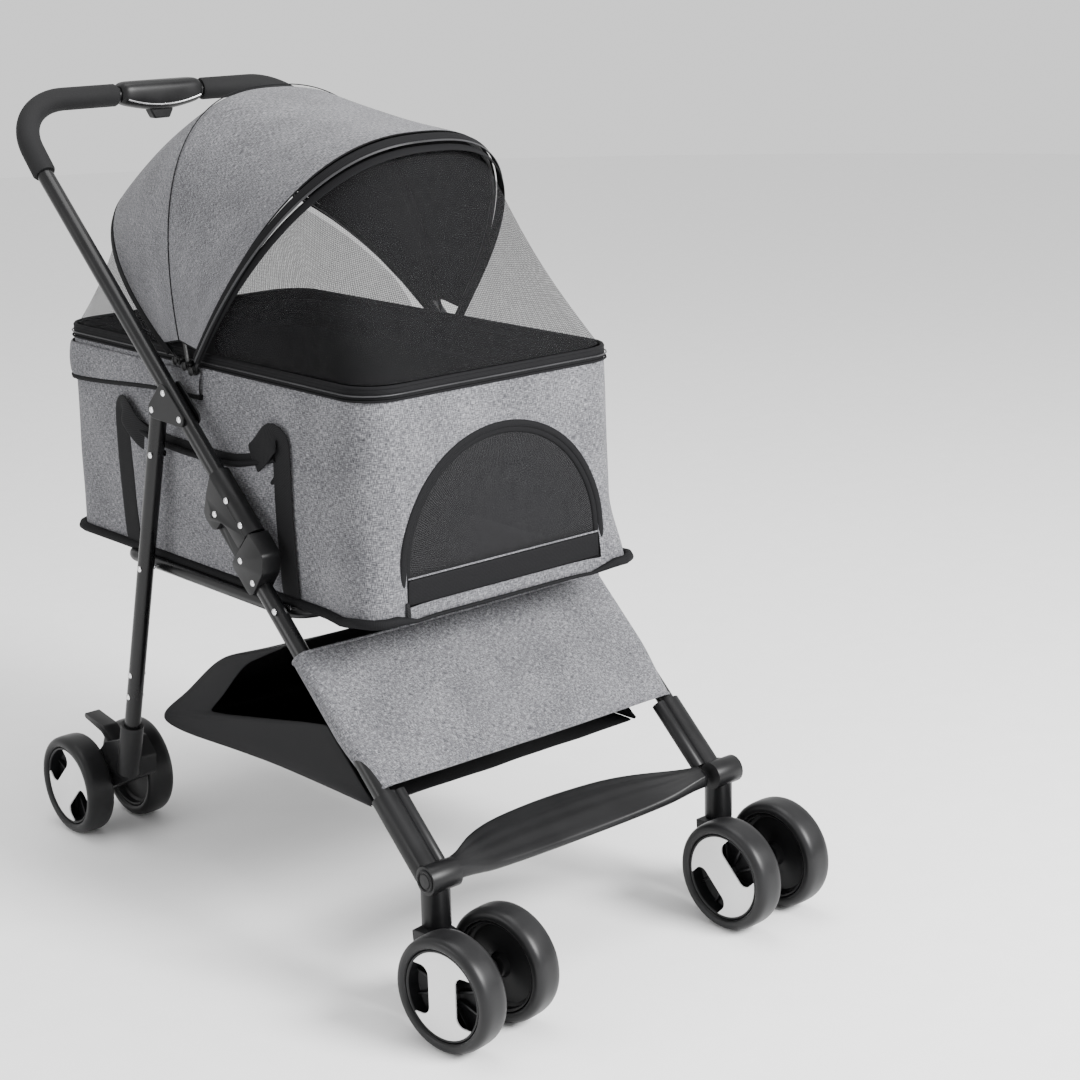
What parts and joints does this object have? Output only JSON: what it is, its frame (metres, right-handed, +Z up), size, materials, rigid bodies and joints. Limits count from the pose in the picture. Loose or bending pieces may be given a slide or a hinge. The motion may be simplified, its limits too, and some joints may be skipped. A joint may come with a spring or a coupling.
{
  "type": "pet stroller",
  "caption": "Folding pet stroller: tube frame with twin swivel casters and twin rear wheels, fabric carrier with arched canopy, mesh windows, front door and basket.",
  "frame": {"origin": "middle of the footprint, on the floor", "axes": "+Z up; the front, with the door and the swivel casters, faces -Y; the push bar is at +Y; +X is the left hand of whoever pushes it"},
  "size_m": [0.5713, 0.9883, 0.982],
  "materials": {
    "frame_paint": "satin black powder coat",
    "black_plastic": "satin moulded",
    "foam": "matt foam",
    "tyre": "satin solid foam rubber",
    "rim": "satin moulded",
    "steel": "bright",
    "grey_fabric": "woven melange",
    "black_fabric": "woven webbing and cloth",
    "mesh_fabric": "fine open mesh",
    "mat_fabric": "soft pile"
  },
  "bodies": {
    "handle": {"handle_tube": "frame_paint", "grip_left": "foam", "grip_right": "foam", "release_housing": "black_plastic", "rear_leg_bracket_left": "black_plastic", "rear_leg_bracket_right": "black_plastic", "fold_hinge_left": "black_plastic", "fold_hinge_right": "black_plastic"},
    "release": {"release_trigger": "black_plastic"},
    "lock_left": {"lock_slider_left": "black_plastic"},
    "lock_right": {"lock_slider_right": "black_plastic"},
    "front_legs": {"fold_knuckle_left": "black_plastic", "fold_knuckle_right": "black_plastic", "front_leg_left": "frame_paint", "front_leg_right": "frame_paint", "front_leg_foot_left": "black_plastic", "front_leg_foot_right": "black_plastic", "footrest_bar": "black_plastic", "leg_panel": "grey_fabric", "basket": "black_fabric"},
    "caster_left": {"caster_fork_left": "black_plastic", "front_axle_left": "steel"},
    "caster_right": {"caster_fork_right": "black_plastic", "front_axle_right": "steel"},
    "rear_leg_left": {"rear_leg_left": "frame_paint", "rear_wheel_housing_left": "black_plastic", "rear_axle_left": "steel"},
    "rear_leg_right": {"rear_leg_right": "frame_paint", "rear_wheel_housing_right": "black_plastic", "rear_axle_right": "steel"},
    "brake_left": {"brake_pedal_left": "black_plastic"},
    "brake_right": {"brake_pedal_right": "black_plastic"},
    "support": {"support_frame": "frame_paint"},
    "carrier": {"carrier_shell": "grey_fabric", "mat": "mat_fabric", "rear_hoop": "frame_paint", "canopy": "grey_fabric", "front_mesh": "mesh_fabric", "rear_mesh": "mesh_fabric", "carry_handle_left": "black_fabric", "carry_handle_right": "black_fabric"},
    "door": {"front_door": "mesh_fabric"},
    "front_hoop": {"front_hoop": "frame_paint"},
    "mid_hoop": {"mid_hoop": "frame_paint"},
    "wheel_front_left_outer": {"tyre_front_left_outer": "tyre", "rim_front_left_outer": "rim"},
    "wheel_rear_left_outer": {"tyre_rear_left_outer": "tyre", "rim_rear_left_outer": "rim"},
    "wheel_front_left_inner": {"tyre_front_left_inner": "tyre", "rim_front_left_inner": "rim"},
    "wheel_rear_left_inner": {"tyre_rear_left_inner": "tyre", "rim_rear_left_inner": "rim"},
    "wheel_front_right_outer": {"tyre_front_right_outer": "tyre", "rim_front_right_outer": "rim"},
    "wheel_rear_right_outer": {"tyre_rear_right_outer": "tyre", "rim_rear_right_outer": "rim"},
    "wheel_front_right_inner": {"tyre_front_right_inner": "tyre", "rim_front_right_inner": "rim"},
    "wheel_rear_right_inner": {"tyre_rear_right_inner": "tyre", "rim_rear_right_inner": "rim"}
  },
  "joints": [
    {"name": "front_leg_fold", "type": "hinge", "parent": "handle", "child": "front_legs", "pos_m": [0, 0.0388, 0.50374], "axis": [1, 0, 0], "range_deg": [0, 140], "deforming": ["basket"]},
    {"name": "release_squeeze", "type": "slide", "parent": "handle", "child": "release", "axis": [0, 0, 1], "range_m": [0, 0.005], "stiffness_N_per_m": 400, "springref_m": -0.004},
    {"name": "lock_slide_left", "type": "slide", "parent": "handle", "child": "lock_left", "axis": [0, 0.739, 0.6737], "range_m": [0, 0.015]},
    {"name": "rear_leg_fold_left", "type": "hinge", "parent": "handle", "child": "rear_leg_left", "pos_m": [0.221, 0.1633, 0.6126], "axis": [1, 0, 0], "range_deg": [0, 114]},
    {"name": "caster_swivel_left", "type": "hinge", "parent": "front_legs", "child": "caster_left", "pos_m": [0.221, -0.349, 0.1085], "axis": [0, 0, 1], "continuous": true},
    {"name": "brake_press_left", "type": "hinge", "parent": "rear_leg_left", "child": "brake_left", "pos_m": [0.203, 0.351, 0.113], "axis": [-1, 0, 0], "range_deg": [0, 14]},
    {"name": "lock_slide_right", "type": "slide", "parent": "handle", "child": "lock_right", "axis": [0, 0.739, 0.6737], "range_m": [0, 0.015]},
    {"name": "rear_leg_fold_right", "type": "hinge", "parent": "handle", "child": "rear_leg_right", "pos_m": [-0.221, 0.1633, 0.6126], "axis": [1, 0, 0], "range_deg": [0, 114]},
    {"name": "caster_swivel_right", "type": "hinge", "parent": "front_legs", "child": "caster_right", "pos_m": [-0.221, -0.349, 0.1085], "axis": [0, 0, 1], "continuous": true},
    {"name": "brake_press_right", "type": "hinge", "parent": "rear_leg_right", "child": "brake_right", "pos_m": [-0.203, 0.351, 0.113], "axis": [-1, 0, 0], "range_deg": [0, 14]},
    {"name": "spin_front_left_outer", "type": "hinge", "parent": "caster_left", "child": "wheel_front_left_outer", "pos_m": [0.25989, -0.41437, 0.067], "axis": [0.999, 0.0436, 0], "continuous": true},
    {"name": "spin_rear_left_outer", "type": "hinge", "parent": "rear_leg_left", "child": "wheel_rear_left_outer", "pos_m": [0.249, 0.396, 0.067], "axis": [1, 0, 0], "continuous": true},
    {"name": "spin_front_left_inner", "type": "hinge", "parent": "caster_left", "child": "wheel_front_left_inner", "pos_m": [0.17197, -0.4182, 0.067], "axis": [0.999, 0.0436, 0], "continuous": true},
    {"name": "spin_rear_left_inner", "type": "hinge", "parent": "rear_leg_left", "child": "wheel_rear_left_inner", "pos_m": [0.157, 0.396, 0.067], "axis": [1, 0, 0], "continuous": true},
    {"name": "spin_front_right_outer", "type": "hinge", "parent": "caster_right", "child": "wheel_front_right_outer", "pos_m": [-0.26188, -0.42331, 0.067], "axis": [0.9877, 0.1564, 0], "continuous": true},
    {"name": "spin_rear_right_outer", "type": "hinge", "parent": "rear_leg_right", "child": "wheel_rear_right_outer", "pos_m": [-0.249, 0.396, 0.067], "axis": [1, 0, 0], "continuous": true},
    {"name": "spin_front_right_inner", "type": "hinge", "parent": "caster_right", "child": "wheel_front_right_inner", "pos_m": [-0.17496, -0.40954, 0.067], "axis": [0.9877, 0.1564, 0], "continuous": true},
    {"name": "spin_rear_right_inner", "type": "hinge", "parent": "rear_leg_right", "child": "wheel_rear_right_inner", "pos_m": [-0.157, 0.396, 0.067], "axis": [1, 0, 0], "continuous": true},
    {"name": "support_fold", "type": "hinge", "parent": "rear_leg_left", "child": "support", "pos_m": [0.2, 0.2221, 0.3992], "axis": [1, 0, 0], "range_deg": [-54.4, 0]},
    {"name": "carrier_lift", "type": "slide", "parent": "handle", "child": "carrier", "axis": [0, -0.2501, 0.9682], "range_m": [0, 0.6]},
    {"name": "door_open", "type": "hinge", "parent": "carrier", "child": "door", "pos_m": [0, -0.2165, 0.4245], "axis": [1, 0, 0], "range_deg": [0, 100]},
    {"name": "canopy_fold", "type": "hinge", "parent": "carrier", "child": "front_hoop", "pos_m": [0, 0.115, 0.662], "axis": [-1, 0, 0], "range_deg": [0, 75], "deforming": ["canopy", "front_mesh"]},
    {"name": "mid_hoop_fold", "type": "hinge", "parent": "carrier", "child": "mid_hoop", "pos_m": [0, 0.13, 0.666], "axis": [-1, 0, 0], "range_deg": [0, 37.5]}
  ],
  "couplings": [
    {"joint": "rear_leg_fold_left", "follows": "front_leg_fold", "ratio": 0.814},
    {"joint": "rear_leg_fold_right", "follows": "front_leg_fold", "ratio": 0.814},
    {"joint": "support_fold", "follows": "front_leg_fold", "ratio": -0.388},
    {"joint": "carrier_lift", "follows": "front_leg_fold", "m_per_rad": 0.2455},
    {"joint": "lock_slide_left", "follows": "release_squeeze", "ratio": 3},
    {"joint": "lock_slide_right", "follows": "release_squeeze", "ratio": 3},
    {"joint": "mid_hoop_fold", "follows": "canopy_fold", "ratio": 0.5}
  ]
}
